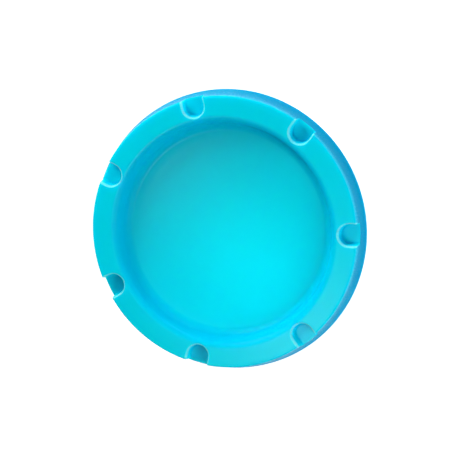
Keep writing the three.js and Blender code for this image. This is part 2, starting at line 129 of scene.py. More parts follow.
def arc_block(inner, outer, start, end, low, high, steps=24):
    """A piece of ring between two angles in degrees: its four corners (r, z) carried round the arc, with a
    flat face at each end."""
    angles = np.radians(np.linspace(start, end, steps + 1))
    r = np.array([inner, outer, outer, inner])[:, None]
    z = np.array([low, low, high, high])[:, None]
    points = np.stack([r * np.cos(angles), r * np.sin(angles), z + 0 * angles], -1)
    count = steps + 1
    faces = quads(4, count, True, False).tolist()
    first = [0, count, 2 * count, 3 * count]
    faces += [first, [i + steps for i in reversed(first)]]
    return points.reshape(-1, 3), faces


def coil(radius, wire, turns, low, high):
    """A helix x = r cos(a), y = r sin(a), with z rising evenly, and a circle of the wire's radius carried
    along it square to its direction, with a flat face at each end."""
    a = np.linspace(0, 2 * np.pi * turns, 24 * turns + 1)[:, None]
    out = np.hstack([np.cos(a), np.sin(a), 0 * a])
    along = np.hstack([-np.sin(a) * radius, np.cos(a) * radius, 0 * a + (high - low) / (2 * np.pi * turns)])
    along /= np.linalg.norm(along, axis=1, keepdims=True)
    up = np.cross(along, out)
    middle = out * radius + np.hstack([0 * a, 0 * a, low + (high - low) * a / a[-1]])
    round_wire = np.linspace(0, 2 * np.pi, 12, endpoint=False)[None, :, None]
    points = middle[:, None] + wire * (np.cos(round_wire) * out[:, None] + np.sin(round_wire) * up[:, None])
    rows, columns = points.shape[:2]
    faces = quads(rows, columns, False, True).tolist()
    faces += [list(range(columns))[::-1], list(range((rows - 1) * columns, rows * columns))]
    return points.reshape(-1, 3), faces


def eased(corners, steps=5, closed=True):
    """Rounds an outline of (r, z, radius) corners: each becomes a parabola that leaves one side and meets
    the next at the radius's distance from the corner. A point is set just beyond each end of it, so that
    the straight sides stay flat in the shading."""
    most, beyond = 0.42, 1.15  # the radius's largest share of a side, and where the points just beyond sit
    pts = np.array([c[:2] for c in corners], float)
    radii = np.array([c[2] for c in corners], float)
    made = []
    for i, (point, radius) in enumerate(zip(pts, radii)):
        at_end = not closed and i in (0, len(pts) - 1)
        back, ahead = pts[i - 1] - point, pts[(i + 1) % len(pts)] - point
        back_len, ahead_len = np.linalg.norm(back), np.linalg.norm(ahead)
        radius = min(radius, most * back_len, most * ahead_len)
        if at_end or radius <= 0:
            made.append(point[None])
            continue
        a = point + back / back_len * radius
        b = point + ahead / ahead_len * radius
        t = np.linspace(0, 1, steps + 1)[:, None]
        curve = (1 - t) ** 2 * a + 2 * t * (1 - t) * point + t**2 * b
        before = point + back / back_len * radius * beyond
        after = point + ahead / ahead_len * radius * beyond
        made.append(np.vstack([before, curve, after]))
    return np.vstack(made)


def moved(part, shift=(0, 0, 0), turn=0.0, tip=False):
    """A surface tipped from +Z to +X if asked, then turned about Z by degrees and moved by shift."""
    verts, faces = part
    if tip:
        verts = verts[:, [2, 1, 0]] * np.array([1, 1, -1])
    c, s = math.cos(math.radians(turn)), math.sin(math.radians(turn))
    flat = verts @ np.array([[c, s, 0], [-s, c, 0], [0, 0, 1]])
    return flat + np.array(shift, float), faces


def joined(parts):
    """Several surfaces as one list of points and faces."""
    verts, faces, start = [], [], 0
    for points, polygons in parts:
        verts.append(points)
        faces += [[start + i for i in polygon] for polygon in polygons]
        start += len(points)
    return np.vstack(verts), faces


def build(name, part, material, body, replaces=(), sharp_deg=None):
    """Puts a surface in millimetres into a mesh in metres, shades it smooth and hands it to the frame."""
    verts, faces = part
    mesh = bpy.data.meshes.new(name)
    mesh.from_pydata((verts * MM).tolist(), [], faces)
    mesh.polygons.foreach_set("use_smooth", np.ones(len(faces), bool))
    mesh.update()
    if sharp_deg is not None:
        mesh.set_sharp_from_angle(angle=math.radians(sharp_deg))
    mesh.materials.append(material)
    piece = bpy.data.objects.new(name, mesh)
    bpy.context.scene.collection.objects.link(piece)
    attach(piece, body)
    if replaces:
        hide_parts(*replaces)
    return piece


def keep(name, material):
    """A CAD node that stays as it is takes a procedural finish in its slots."""
    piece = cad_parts[name]
    for held in piece.material_slots:
        held.material = material


def extent(name):
    """The low and high corners of a CAD node in millimetres, as two arrays."""
    low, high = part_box(name)
    return np.array(low) / MM, np.array(high) / MM


def mm(value):
    """A length property, kept in metres, as millimetres."""
    return value / MM


# ---- Materials ----


# A Mix node's colour sockets go by number, because several of its sockets share a name.
COLOURS = {"data_type": "RGBA"}
SHARE, FIRST, SECOND, MIXED = 0, 6, 7, 2
NOISE_SPREAD = {"From Min": 0.3, "From Max": 0.7}  # noise seldom leaves this range


def linear(hex_colour):
    """An sRGB hex colour as linear red, green and blue."""
    raw = [int(hex_colour[i : i + 2], 16) / 255 for i in (1, 3, 5)]
    return [v / 12.92 if v <= 0.04045 else ((v + 0.055) / 1.055) ** 2.4 for v in raw]


def shade(colour, factor=1.0):
    """A linear colour made lighter or darker, with an alpha of one."""
    return [min(1.0, c * factor) for c in colour] + [1.0]


def per_mm(size_mm):
    """The scale at which a pattern's features are about so many millimetres across."""
    return 1 / (size_mm * MM)


def node(tree, kind, settings, inputs):
    """Adds one shader node with its settings. An input takes a value, or a link if it gets a socket."""
    made = tree.nodes.new(kind)
    for key, value in settings.items():
        setattr(made, key, value)
    for key, value in inputs.items():
        if isinstance(value, bpy.types.NodeSocket):
            tree.links.new(value, made.inputs[key])
        else:
            made.inputs[key].default_value = value
    return made


def new_material(name, values):
    """A material with one Principled shader, its uniform values set on the shader's own sockets."""
    material = bpy.data.materials.new(name)
    material.use_nodes = True
    tree = material.node_tree
    tree.nodes.clear()
    shader = node(tree, "ShaderNodeBsdfPrincipled", {}, values)
    node(tree, "ShaderNodeOutputMaterial", {}, {"Surface": shader.outputs["BSDF"]})
    place = node(tree, "ShaderNodeTexCoord", {}, {}).outputs["Object"]
    return material, tree, shader, place


def mottled(tree, shader, place, shades, drift, rough, grain=None, fine_sheen=False):
    """Broad noise drifts between two shades of a colour and between two roughnesses. Fine noise, where
    there is any, stands up from the surface, and with fine_sheen it drives the roughness too. drift is the
    broad noise's size in mm and detail; grain is the fine one's size, detail, height in mm and strength.
    Returns the colour's socket."""
    sizes = [drift, grain[:2]] if grain else [drift]
    noises = [
        node(
            tree,
            "ShaderNodeTexNoise",
            {},
            {"Vector": place, "Scale": per_mm(size), "Detail": detail, "Roughness": 0.5},
        ).outputs["Fac"]
        for size, detail in sizes
    ]
    tone = node(
        tree,
        "ShaderNodeMapRange",
        {},
        {"Value": noises[0], **NOISE_SPREAD, "To Min": 0.0, "To Max": 1.0},
    ).outputs["Result"]
    sheen = node(
        tree,
        "ShaderNodeMapRange",
        {},
        {
            "Value": noises[1] if fine_sheen else tone,
            **NOISE_SPREAD,
            "To Min": rough[0],
            "To Max": rough[1],
        },
    )
    tree.links.new(sheen.outputs["Result"], shader.inputs["Roughness"])
    mix = node(tree, "ShaderNodeMix", COLOURS, {SHARE: tone, FIRST: shades[0], SECOND: shades[1]})
    tree.links.new(mix.outputs[MIXED], shader.inputs["Base Color"])
    if grain:
        raised = {"Strength": grain[3], "Distance": grain[2] * MM, "Height": noises[1]}
        bump = node(tree, "ShaderNodeBump", {}, raised)
        tree.links.new(bump.outputs["Normal"], shader.inputs["Normal"])
    return mix.outputs[MIXED]


def frosted_polystyrene(settings):
    """Translucent cyan polystyrene, injection moulded in a spark-eroded mould. Light goes a few millimetres
    into it, so it glows. Steep walls, the skirt and the spigot are painted a darker blue as painted shade,
    and the lips of the notches a lighter cyan as a painted highlight. Its gloss breaks into fine grains."""
    material, tree, shader, place = new_material(
        "frosted_polystyrene_moulded",
        {
            "IOR": 1.57,
            "Metallic": 0.0,
            "Specular IOR Level": settings.gloss,
            "Subsurface Weight": 0.85,
            "Subsurface Radius": (0.02, 1.0, 1.3),
            "Subsurface Scale": settings.glow_depth,
        },
    )
    drift = node(
        tree,
        "ShaderNodeTexNoise",
        {},
        {"Vector": place, "Scale": per_mm(22), "Detail": 2, "Roughness": 0.5},
    )
    tone = node(
        tree,
        "ShaderNodeMapRange",
        {},
        {"Value": drift.outputs["Fac"], **NOISE_SPREAD, "To Min": 0.0, "To Max": 0.12},
    )
    face = node(
        tree,
        "ShaderNodeMix",
        COLOURS,
        {
            SHARE: tone.outputs["Result"],
            FIRST: shade(settings.colour),
            SECOND: shade(settings.colour, 0.9),
        },
    )
    # Painted shade: steep walls, the skirt and the spigot are painted towards a darker blue.
    wall = node(tree, "ShaderNodeAttribute", {"attribute_name": "painted_wall_shade"}, {})
    body = node(
        tree,
        "ShaderNodeMix",
        COLOURS,
        {
            SHARE: wall.outputs["Fac"],
            FIRST: face.outputs[MIXED],
            SECOND: shade(settings.wall_shade_colour),
        },
    )
    # Painted highlight: the lips of the notches are painted a lighter cyan.
    lip = node(tree, "ShaderNodeAttribute", {"attribute_name": "painted_lip_highlight"}, {})
    lit = node(
        tree,
        "ShaderNodeMapRange",
        {},
        {"Value": lip.outputs["Fac"], **NOISE_SPREAD, "To Min": 0.0, "To Max": 0.6},
    )
    edged = node(
        tree,
        "ShaderNodeMix",
        COLOURS,
        {
            SHARE: lit.outputs["Result"],
            FIRST: body.outputs[MIXED],
            SECOND: shade(settings.lip_highlight_colour),
        },
    )
    tree.links.new(edged.outputs[MIXED], shader.inputs["Base Color"])
    # The spark grain is about 0.1 mm; it is drawn at 0.5 mm so that it shows.
    grain = node(
        tree,
        "ShaderNodeTexNoise",
        {},
        {"Vector": place, "Scale": per_mm(0.5), "Detail": 4, "Roughness": 0.6},
    ).outputs["Fac"]
    sheen = node(
        tree,
        "ShaderNodeMapRange",
        {},
        {"Value": grain, **NOISE_SPREAD, "To Min": 0.2, "To Max": 0.32},
    )
    tree.links.new(sheen.outputs["Result"], shader.inputs["Roughness"])
    raised = {"Strength": 0.8, "Distance": 0.05 * MM, "Height": grain}
    bump = node(tree, "ShaderNodeBump", {}, raised)
    tree.links.new(bump.outputs["Normal"], shader.inputs["Normal"])
    return material


def moulded_abs(settings):
    """Blue ABS, injection moulded with a satin tool finish: even colour, a broad soft sheen, faint flow."""
    material, tree, shader, place = new_material(
        "abs_moulded_satin", {"IOR": 1.53, "Metallic": 0.0, "Specular IOR Level": 0.45}
    )
    colour = settings.plastic_colour
    shades = shade(colour, 0.93), shade(colour, 1.05)
    # Tool texture of 0.08 mm is drawn at 0.35 mm so that it shows.
    mottled(tree, shader, place, shades, (9, 3), (0.38, 0.52), (0.35, 3, 0.012, 0.6), True)
    return material


def sintered_alumina(settings):
    """Aluminium oxide grit, pressed and sintered: pale grey grains with painted shade in the pores between
    them, quite matt.
    """
    material, tree, shader, place = new_material(
        "alumina_grit_sintered", {"IOR": 1.76, "Metallic": 0.0, "Specular IOR Level": 0.3}
    )
    colour = settings.colour
    shades = shade(colour, 0.82), shade(colour, 1.12)
    grains = mottled(tree, shader, place, shades, (1.6, 4), (0.85, 0.97))
    pattern = {"Vector": place, "Scale": 1 / settings.grit, "Randomness": 1.0}
    middle = node(tree, "ShaderNodeTexVoronoi", {}, pattern).outputs["Distance"]
    # Painted shade: the pores between the grains are painted darker, towards three tenths of the grit's
    # colour.
    pore_shade = node(
        tree,
        "ShaderNodeMapRange",
        {},
        {"Value": middle, "From Min": 0.35, "From Max": 0.62, "To Min": 0.0, "To Max": 0.75},
    )
    pitted = node(
        tree,
        "ShaderNodeMix",
        COLOURS,
        {SHARE: pore_shade.outputs["Result"], FIRST: grains, SECOND: shade(colour, 0.3)},
    )
    tree.links.new(pitted.outputs[MIXED], shader.inputs["Base Color"])
    height = node(tree, "ShaderNodeMath", {"operation": "MULTIPLY"}, {0: middle, 1: -1.0})
    raised = {"Strength": 0.9, "Distance": 0.35 * MM, "Height": height.outputs[0]}
    bump = node(tree, "ShaderNodeBump", {}, raised)
    tree.links.new(bump.outputs["Normal"], shader.inputs["Normal"])
    return material


def moulded_nitrile(settings):
    """Nitrile rubber, compression moulded: nearly black, dusty and without a clear reflection."""
    material, tree, shader, place = new_material(
        "nitrile_rubber_moulded", {"IOR": 1.52, "Metallic": 0.0, "Specular IOR Level": 0.3}
    )
    colour = settings.rubber_colour
    shades = shade(colour, 0.85), shade(colour, 1.35)
    mottled(tree, shader, place, shades, (2.5, 4), (0.62, 0.82), (0.4, 3, 0.015, 0.6))
    return material


def moulded_silicone(settings):
    """Clear silicone rubber, moulded: milky where it is thick, with a soft wet-looking gloss."""
    material, tree, shader, place = new_material(
        "silicone_rubber_clear",
        {
            "IOR": 1.41,
            "Metallic": 0.0,
            "Transmission Weight": 0.7,
            "Subsurface Weight": 0.3,
            "Subsurface Radius": (1.0, 1.0, 1.0),
            "Subsurface Scale": 0.003,
        },
    )
    colour = settings.silicone_colour
    shades = shade(colour, 0.94), shade(colour)
    mottled(tree, shader, place, shades, (3, 3), (0.2, 0.34), (0.8, 2, 0.01, 0.4))
    return material


def turned_stainless(settings):
    """Stainless steel, turned and tumbled: grey metal with a broad soft reflection and fine scuffs."""
    material, tree, shader, place = new_material("stainless_steel_tumbled", {"Metallic": 1.0})
    colour = settings.steel_colour
    shades = shade(colour, 0.9), shade(colour, 1.05)
    mottled(tree, shader, place, shades, (0.6, 4), (0.24, 0.4), (0.3, 3, 0.006, 0.5))
    return material


def lit_acrylic(settings):
    """White acrylic of a light table: matt, very pale and faintly lit from below, so shadows stay soft."""
    colour = settings.floor_colour
    glow = {"Emission Color": shade(colour), "Emission Strength": settings.table_glow}
    material, tree, shader, place = new_material("acrylic_light_table", {"IOR": 1.49, **glow})
    shades = shade(colour, 0.995), shade(colour)
    mottled(tree, shader, place, shades, (60, 2), (0.86, 0.9))
    return material


_made = {}


def finish_of(maker, settings):
    """Each finish is made once and shared by its pieces."""
    if maker not in _made:
        _made[maker] = maker(settings)
    return _made[maker]


# ---- Settings ----


def length(name, description, default_mm):
    """A length property with its default in millimetres."""
    return bpy.props.FloatProperty(
        name=name,
        description=description,
        default=default_mm * MM,
        min=0.0,
        unit="LENGTH",
        subtype="DISTANCE",
    )


def swatch(name, description, default_hex):
    """A colour property with its default as sRGB hex."""
    return bpy.props.FloatVectorProperty(
        name=name,
        description=description,
        default=linear(default_hex),
        min=0.0,
        max=1.0,
        size=3,
        subtype="COLOR",
    )


def angle(name, description, default_deg):
    """An angle property with its default in degrees."""
    turn = math.radians(default_deg)
    return bpy.props.FloatProperty(
        name=name, description=description, default=turn, unit="ROTATION", subtype="ANGLE"
    )


def power(name, description, default_w):
    """A light's power with its default in watts."""
    return bpy.props.FloatProperty(
        name=name, description=description, default=default_w, min=0.0, unit="POWER"
    )


def amount(name, description, default, most=10.0):
    """A plain number that is never negative."""
    return bpy.props.FloatProperty(
        name=name, description=description, default=default, min=0.0, max=most
    )


class AirStoneCap(bpy.types.PropertyGroup):
    """Sizes and finish of the notched cap."""

    flange_radius: length("Flange radius", "Outer corner of the flat flange", 60.4)
    rim_height: length("Rim height", "From the flange down to the skirt's lower edge", 11.8)
    corner: length("Corner", "Rounding of the flange's outer corner", 0.8)
    lip: length("Lip", "Upright edge at the foot of the skirt", 0.8)
    dish_depth: length("Dish depth", "From the flange to the edge of the dish floor", 8.7)
    dish_sag: length("Dish sag", "Extra depth in the middle of the dish", 4.0)
    roll_start: length("Roll start", "Radius where the flange starts to roll into the dish", 52.0)
    roll: length("Roll", "Radius of the roll into the dish", 3.6)
    foot: length("Foot", "Radius where the dish floor turns up", 4.6)
    floor_radius: length("Floor radius", "Where the dish floor starts to turn up", 43.4)
    wall: length("Wall", "Thickness of the cap", 2.2)
    seal_land: length("Seal land", "Outer radius of the flat that meets the cap seal", 49.8)
    notch_half: length("Notch half width", "Half the width of a notch", 4.65)
    notch_end: length("Notch end", "Radius of a notch's inner end", 52.2)
    notch_depth: length("Notch depth", "From the flange to a notch's floor", 5.4)
    notch_edge: length("Notch edge", "Half the width over which a notch's wall slopes", 0.5)
    notches: bpy.props.IntProperty(name="Notches", description="Number of finger notches", default=7, min=1)
    notch_start: angle("Notch start", "Angle from +X to the first notch", 1.0)
    spigot_radius: length("Spigot radius", "Outside of the locking spigot", 47.8)
    spigot_wall: length("Spigot wall", "Thickness of the locking spigot", 1.8)
    spigot_height: length("Spigot height", "How far the spigot hangs below the cap", 8.4)
    glow_depth: length("Glow depth", "How far light spreads in the plastic", 3.0)
    gloss: amount("Gloss", "Strength of the surface reflection", 0.012, 1.0)
    colour: swatch("Plastic", "Colour of the plastic on a level face", "#00e2ff")
    # Painted shade: the darker blue painted on steep walls, the skirt and the spigot.
    wall_shade_colour: swatch("Walls", "Colour where the plastic is seen along a wall", "#008fbe")
    # Painted highlight: the lighter cyan painted on the lips of the notches.
    lip_highlight_colour: swatch("Lips", "Colour of the lit lips of the notches", "#8cf2ff")


class AirStoneStone(bpy.types.PropertyGroup):
    """Sizes and finish of the porous stone."""

    width: length("Width", "From the inside of the ring to its outside", 6.6)
    grit: length("Grit", "Size of a grain of the stone", 0.6)
    relief: length("Relief", "How far grains stand out of the surface", 0.12)
    colour: swatch("Stone", "Colour of the grit", "#d3d6d4")


class AirStoneBase(bpy.types.PropertyGroup):
    """Sizes and finishes of the base, its seals and its feet."""

    edge: length("Edge", "Rounding of moulded edges", 0.35)
    gasket_width: length("Gasket width", "Width of the two flat gaskets", 6.0)
    ring_width: length("Pressure ring width", "Whole width of the pressure ring", 8.9)
    land_width: length("Pressure ring land", "Width of the pressure ring outside its rebate", 7.0)
    rebate_floor: length("Rebate floor", "Thickness under the seal's rebate", 0.8)
    screw_circle: length("Screw circle", "From the middle of the disc to a screw's axis", 39.4)
    lug_angle: angle("Lug angle", "Angle from +X to the first locking lug", 60.0)
    twist: angle("Twist", "Turn that frees the cap", 22.0)
    cup_angle: angle("Cup angle", "Angle from +X to the first suction cup", 35.0)
    screw_angle: angle("Screw angle", "Angle from +X to the first screw", 5.0)
    valve_lift: length("Valve lift", "How far the poppet lifts off its seat", 1.5)
    plastic_colour: swatch("Plastic", "Colour of the base", "#1f5f86")
    rubber_colour: swatch("Rubber", "Colour of the seals", "#22282c")
    silicone_colour: swatch("Silicone", "Tint of the suction cups", "#dff1f4")
    steel_colour: swatch("Steel", "Colour of the stainless steel", "#b9bdc1")


class AirStoneStage(bpy.types.PropertyGroup):
    """Floor, lights and camera."""

    floor_colour: swatch("Floor", "Colour of the floor", "#fbfbfb")
    table_glow: amount("Table glow", "Light from the floor", 0.68)
    key_power: power("Key", "Power of the main light", 5.9)
    fill_power: power("Fill", "Power of the light opposite the main one", 4.1)
    pool_power: power("Pool", "Power of the spotlight on the dish", 6.4)
    glint_power: power("Glint", "Power of the small light seen in the flange", 0.62)
    rim_power: power("Rim", "Power of the low light on the skirt", 0.7)
    sky: amount("Sky", "Even light from all round", 0.17)
    tilt: angle("Tilt", "Camera's angle off the vertical", 17.6)
    heading: angle("Heading", "Camera's direction from +X", 28.0)
    distance: length("Distance", "Camera's distance", 1100)
    share: amount("Share", "How much of the view's width the disc takes up", 0.617904, 1.0)


# ---- The cap ----

# In millimetres: no notch moves anything nearer the middle than NOTCH_ZONE, and a pocket's wall under the
# flange keeps outside POCKET_ZONE, clear of the flat that meets the seal.
NOTCH_ZONE = 49
POCKET_ZONE = 49.9
GATHER = 1.3  # how near a notch's outline points gather towards it
LIP_HIGHLIGHT_BAND = 1.6  # how far below the flange the painted lip highlight reaches


def cap_outline(cap, flange_z):
    """The cap's section from the middle of its underside, outwards and back over its top to the middle.
    The outside flares as the square of the height left above it. Returns points and, for each, which
    stretch it is on: 0 underside, 1 skirt's outside, 2 top."""
    depth, sag, wall = mm(cap.dish_depth), mm(cap.dish_sag), mm(cap.wall)
    floor_z, floor_r = flange_z - depth, mm(cap.floor_radius)
    skirt_z, rim = flange_z - mm(cap.rim_height), mm(cap.rim_height)
    skirt_r = extent("notched_cap")[1][1]
    corner_r, corner = mm(cap.flange_radius), mm(cap.corner)
    share = np.linspace(0, 1, 15)
    bowl_r, bowl_z = floor_r * share, -sag * (1 - share**2)
    under_z = floor_z - wall
    back = mm(cap.roll_start) - 1.4
    inner_r = corner_r - wall
    below = eased(
        [
            (floor_r, under_z, 0),
            (mm(cap.seal_land), under_z, 0.6),
            (back, under_z + wall, 1.0),
            (back + 0.4, flange_z - depth / 2, 1.0),
            (back + 2.0, flange_z - wall, 1.0),
            (inner_r, flange_z - wall, 1.0),
            (inner_r + 0.4, skirt_z + rim / 2, 1.5),
            (skirt_r - wall + 0.4, skirt_z, 0.25),
            (skirt_r, skirt_z, 0.25),
        ],
        4,
        closed=False,
    )
    spans = np.linalg.norm(np.diff(below, axis=0), axis=1)
    along = np.concatenate([[0], np.cumsum(spans)])
    extra = np.linspace(0, along[-1], 42)
    at = np.unique(np.concatenate([along, extra]))
    below = np.stack([np.interp(at, along, below[:, 0]), np.interp(at, along, below[:, 1])], -1)
    under = np.vstack([np.stack([bowl_r, under_z + bowl_z], -1), below[1:-1]])
    lip_z = skirt_z + mm(cap.lip)
    rise = np.linspace(0, 1, 40)[:-1]
    bell_r = corner_r + (skirt_r - corner_r) * (1 - rise) ** 2
    outside = np.stack([bell_r, lip_z + (flange_z - corner - lip_z) * rise], -1)
    outside = np.vstack([[[skirt_r, skirt_z + 0.2]], outside])
    turn = np.radians(np.linspace(0, 90, 7))
    fillet = [corner_r - corner + corner * np.cos(turn), flange_z - corner + corner * np.sin(turn)]
    flat_r = np.linspace(corner_r - corner, mm(cap.roll_start), 32)[1:-1]
    flat = np.stack([flat_r, flange_z + 0 * flat_r], -1)
    roll, foot = mm(cap.roll), mm(cap.foot)
    down = np.radians(np.linspace(90, 162, 14))
    rolled = [mm(cap.roll_start) + roll * np.cos(down), flange_z - roll + roll * np.sin(down)]
    up = np.radians(np.linspace(-14, -90, 14))
    footed = [floor_r + foot * np.cos(up), floor_z + foot + foot * np.sin(up)]
    bowl = np.stack([bowl_r, floor_z + bowl_z], -1)[::-1][1:]
    top = np.vstack([np.stack(fillet, -1), flat, np.stack(rolled, -1), np.stack(footed, -1), bowl])
    points = np.vstack([under, outside, top])
    stretch = np.repeat([0, 1, 2], [len(under), len(outside), len(top)])
    return points, stretch


def notch_columns(cap):
    """Angles round the cap: close together across each notch and further apart between notches."""
    pitch = 2 * np.pi / cap.notches
    near = math.radians(6.4)
    across = np.linspace(-near, near, 42, endpoint=False)
    between = np.linspace(near, pitch - near, 20, endpoint=False)
    one = np.concatenate([across, between])
    starts = cap.notch_start + pitch * np.arange(cap.notches)
    return (starts[:, None] + one[None]).ravel()


def cap_surface(cap):
    """A section turned about Z, with notches pressed into it. The distance to a notch's outline is that to
    a half-round end joined to two straight sides. Points within 1.3 mm of the outline gather towards it,
    as the square of their distance, and the height then falls to the notch's floor across the outline on
    a smooth step. Under the flange the same outline, larger by the wall, holds the notch's own wall. Also
    returned are how far each point is into a notch, and its nearness to a lip as a bell curve."""
    flange_z = extent("notched_cap")[1][2]
    outline, stretch = cap_outline(cap, flange_z)
    theta = notch_columns(cap)
    pitch = 2 * np.pi / cap.notches
    rows = outline[1:-1]
    kind = stretch[1:-1][:, None]
    radius = rows[:, :1] + 0 * theta
    height = rows[:, 1:] + 0 * theta
    local = (theta - cap.notch_start + pitch / 2) % pitch - pitch / 2
    base = theta - local
    half, edge, wall = mm(cap.notch_half), mm(cap.notch_edge), mm(cap.wall)
    centre = mm(cap.notch_end) + half
    x, y = radius * np.cos(local), radius * np.sin(local)

    def distance(px, py, width):
        return np.where(px < centre, np.hypot(px - centre, py), np.abs(py)) - width

    gap = np.where(kind == 0, distance(x, y, half + wall), distance(x, y, half))
    near = np.abs(gap) < GATHER
    pull = np.where(near, gap * (np.abs(gap) / GATHER) - gap, 0) * (radius > NOTCH_ZONE)
    length_to = np.maximum(np.hypot(x - centre, y), 1e-6)
    toward_x = np.where(x < centre, (x - centre) / length_to, 0)
    toward_y = np.where(x < centre, y / length_to, np.sign(y))
    x, y = x + toward_x * pull, y + toward_y * pull
    new_r = np.hypot(x, y)
    top_part = outline[stretch == 2][::-1]
    on_top = kind == 2
    top_z = np.interp(new_r, top_part[:, 0], top_part[:, 1])
    height = np.where(on_top & (np.abs(pull) > 0), top_z, height)
    keep_r = np.where(on_top, 1.0, radius / new_r)
    x, y = x * keep_r, y * keep_r
    floor_z = flange_z - mm(cap.notch_depth)
    pocket_z = floor_z - wall
    outer_face = (kind > 0) & (new_r > NOTCH_ZONE)
    upper = outer_face & (height > flange_z - LIP_HIGHLIGHT_BAND)
    inside = smooth_step(0.5 - distance(x, y, half) / (2 * edge)) * (outer_face & (height > floor_z))
    height = height + (floor_z - height) * inside
    behind = smooth_step(0.5 - distance(x, y, half + wall) / (2 * edge))
    behind = behind * ((kind == 0) & (new_r > POCKET_ZONE))
    height = np.where(height > pocket_z, height + (pocket_z - height) * behind, height)
    # Painted highlight: nearness to a notch's lip, which the material paints lighter.
    lip = np.exp(-(((distance(x, y, half) - edge) / (0.8 * edge)) ** 2)) * upper
    c, s = np.cos(base), np.sin(base)
    points = np.stack([x * c - y * s, x * s + y * c, height], -1)
    return points, outline[[0, -1]], kind, inside, lip


def painted_wall_shade(points, kind, inside):
    """Share of painted shade, towards the darker wall colour: the steepness of the surface, from 0 on a
    level face to 1 on an upright one, softened a little along the section. It counts in full on the skirt,
    by on_walls on the dish's wall, and by on_notches less halfway down the short walls of the notches."""
    on_walls, on_notches = 0.46, 0.55
    skirt_from, skirt_by = 60.2, 60.7
    run = np.hypot(*np.gradient(points[..., :2], axis=0).transpose(2, 0, 1))
    rise = np.abs(np.gradient(points[..., 2], axis=0))
    steep = rise / np.maximum(np.hypot(run, rise), 1e-6)
    for _ in range(3):
        padded = np.pad(steep, ((1, 1), (0, 0)), "edge")
        steep = (padded[:-2] + 2 * padded[1:-1] + padded[2:]) / 4
    short = 1 - on_notches * 4 * inside * (1 - inside)
    radius = np.hypot(points[..., 0], points[..., 1])
    skirt = smooth_step((radius - skirt_from) / (skirt_by - skirt_from))
    share = on_walls + (1 - on_walls) * skirt
    return np.clip(steep, 0, 1) * share * (kind > 0) * short


def held_values(piece, name, values):
    """Keeps one number for each point of a piece, for its material to read."""
    held = piece.data.attributes.new(name, "FLOAT", "POINT")
    held.data.foreach_set("value", values.astype(np.float32))


def lock_spigot(cap, base):
    """The spigot under the dish: a ring over three tall arcs and three low ones, which leave L-shaped ways
    for the lugs of the base."""
    outer = mm(cap.spigot_radius)
    inner = outer - mm(cap.spigot_wall)
    high = extent("notched_cap")[1][2] - mm(cap.dish_depth) - mm(cap.wall) + 0.2
    low = extent("notched_cap")[0][2]
    run_low, run_high = 17.0, 19.5  # undersides of the low and the high arcs
    room = 5.5  # degrees of clearance beside a lug
    twist = math.degrees(base.twist)
    under = [(inner, run_high, 0.1), (outer, run_high, 0.1)]
    parts = [lathe(eased(under + [(outer, high, 0), (inner, high, 0)]))]
    for i in range(3):
        lug = math.degrees(base.lug_angle) + 120 * i
        parts.append(arc_block(inner, outer, lug + room, lug + 120 - twist - room, low, run_high, 60))
        parts.append(arc_block(inner, outer, lug - twist + room, lug + room, low, run_low))
    return joined(parts)


class AIRSTONE_OT_cap(bpy.types.Operator):
    """Builds the notched dish-shaped cap and the locking spigot under it"""

    bl_idname = "airstone.cap"
    bl_label = "Notched cap"

    def execute(self, context):
        cap, base = context.scene.air_stone_cap, context.scene.air_stone_base
        plastic = finish_of(frosted_polystyrene, cap)
        points, poles, kind, inside, lip = cap_surface(cap)
        depth = painted_wall_shade(points, kind, inside)
        skin = closed_skin(points, poles)
        shell = build("cap_shell", skin, plastic, "cap", ["notched_cap"])
        # Painted shade and painted highlight, kept on the points for the material.
        held_values(shell, "painted_wall_shade", np.concatenate([depth.ravel(), [0, 0]]))
        held_values(shell, "painted_lip_highlight", np.concatenate([lip.ravel(), [0, 0]]))
        part = lock_spigot(cap, base)
        spigot = build("cap_lock_spigot", part, plastic, "cap", ["notched_cap"], 35)
        # Painted shade: the whole spigot takes the darker wall colour.
        held_values(spigot, "painted_wall_shade", np.ones(len(spigot.data.vertices)))
        return {"FINISHED"}


# ---- The stone, its seals and the ring that clamps them ----


def square_ring(inner, outer, low, high, edge):
    """A ring of rectangular section with eased corners."""
    corners = [(inner, low, edge), (outer, low, edge), (outer, high, edge), (inner, high, edge)]
    return lathe(eased(corners, 4))


def gritty_ring(inner, outer, low, high, relief):
    """A ring whose section is walked at even steps, each point pushed out or in along the section's own
    normal by smoothed random amounts, as grains of grit stand out of a pressed face."""
    edge, rows, columns = 0.3, 92, 900
    corners = [(inner, low, edge), (outer, low, edge), (outer, high, edge), (inner, high, edge)]
    section = eased(corners, 3)
    loop = np.vstack([section, section[:1]])
    spans = np.linalg.norm(np.diff(loop, axis=0), axis=1)
    along = np.concatenate([[0], np.cumsum(spans)])
    at = np.linspace(0, along[-1], rows, endpoint=False)
    r, z = np.interp(at, along, loop[:, 0]), np.interp(at, along, loop[:, 1])
    tr, tz = np.roll(r, -1) - np.roll(r, 1), np.roll(z, -1) - np.roll(z, 1)
    size = np.maximum(np.hypot(tr, tz), 1e-6)
    random = np.random.default_rng(7).normal(size=(rows, columns))
    near = random + 0.5 * (np.roll(random, 1, 1) + np.roll(random, -1, 1) + np.roll(random, 1, 0))
    push = np.clip(near / near.std(), -2, 1) * relief / 2 - relief / 2
    theta = np.linspace(0, 2 * np.pi, columns, endpoint=False)
    rr = r[:, None] + push * (tz / size)[:, None]
    zz = z[:, None] - push * (tr / size)[:, None]
    return closed_skin(np.stack([rr * np.cos(theta), rr * np.sin(theta), zz], -1))


class AIRSTONE_OT_stone(bpy.types.Operator):
    """Builds the ring of porous stone"""

    bl_idname = "airstone.stone"
    bl_label = "Stone ring"

    def execute(self, context):
        stone = context.scene.air_stone_stone
        low, high = extent("stone_ring")
        inner = high[0] - mm(stone.width)
        ring = gritty_ring(inner, high[1], low[2], high[2], mm(stone.relief))
        grit = finish_of(sintered_alumina, stone)
        build("stone_ring_grit", ring, grit, "base", ["stone_ring"])
        return {"FINISHED"}


